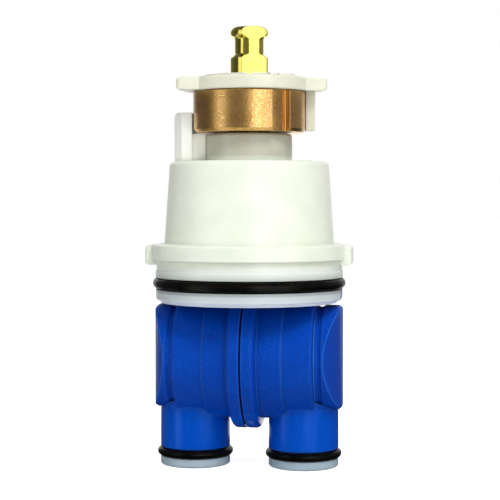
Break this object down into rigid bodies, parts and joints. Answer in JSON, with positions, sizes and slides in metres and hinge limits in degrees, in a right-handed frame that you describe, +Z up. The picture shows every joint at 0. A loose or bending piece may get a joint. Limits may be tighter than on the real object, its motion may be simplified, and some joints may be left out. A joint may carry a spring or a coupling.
{
  "type": "pressure balance cartridge",
  "caption": "Pressure balance cartridge: brass stem with limit stop, white keyed cap with O-ring, split blue balance drum, hot and cold inlet tubes with O-rings.",
  "frame": {"origin": "on the stem's axis, level with the open ends of the two inlet tubes", "axes": "+Z up along the stem towards its handle end, X along the line of the two inlets with the cold one at +X, -Y towards the front"},
  "size_m": [0.0518, 0.0486, 0.1092],
  "materials": {
    "white_cap": "satin, slightly translucent",
    "white_stop": "satin",
    "blue_housing": "satin moulded",
    "grey_ring": "satin",
    "inner_plastic": "satin",
    "black_rubber": "smooth, greased",
    "polished_brass": "polished",
    "sintered_bronze": "grainy, sintered",
    "steel": "brushed"
  },
  "bodies": {
    "valve_body": {"cap": "white_cap", "cap_oring": "black_rubber", "housing_left": "blue_housing", "housing_right": "blue_housing", "end_cap_left": "blue_housing", "end_cap_right": "blue_housing", "end_cap_oring_left": "black_rubber", "end_cap_oring_right": "black_rubber", "inlet_ring_left": "grey_ring", "inlet_ring_right": "grey_ring", "inlet_oring_left": "black_rubber", "inlet_oring_right": "black_rubber", "diaphragm": "black_rubber", "seat_spring_left": "steel", "seat_spring_right": "steel"},
    "control_stem": {"stem": "polished_brass", "stem_oring_upper": "black_rubber", "stem_oring_lower": "black_rubber", "thrust_washer": "inner_plastic", "retaining_clip": "steel", "valve_rotor": "inner_plastic", "metering_plate": "steel", "stop_hub": "sintered_bronze", "limit_stop": "white_stop"},
    "balance_spool": {"spool_shaft": "steel", "poppet_left": "inner_plastic", "poppet_right": "inner_plastic", "backing_plate_left": "steel", "backing_plate_right": "steel"},
    "hot_seat": {"seat_left": "black_rubber"},
    "cold_seat": {"seat_right": "black_rubber"}
  },
  "joints": [
    {"name": "stem_turn", "type": "hinge", "parent": "valve_body", "child": "control_stem", "pos_m": [0, 0, 0.08], "axis": [0, 0, 1], "range_deg": [-165, 141]},
    {"name": "balance_slide", "type": "slide", "parent": "valve_body", "child": "balance_spool", "axis": [1, 0, 0], "range_m": [-0.0012, 0.0012], "deforming": ["diaphragm"]},
    {"name": "hot_seat_slide", "type": "slide", "parent": "valve_body", "child": "hot_seat", "axis": [0, 0, 1], "range_m": [-0.0006, 0], "stiffness_N_per_m": 500, "springref_m": 0.0015, "deforming": ["seat_spring_left"]},
    {"name": "cold_seat_slide", "type": "slide", "parent": "valve_body", "child": "cold_seat", "axis": [0, 0, 1], "range_m": [-0.0006, 0], "stiffness_N_per_m": 500, "springref_m": 0.0015, "deforming": ["seat_spring_right"]}
  ]
}
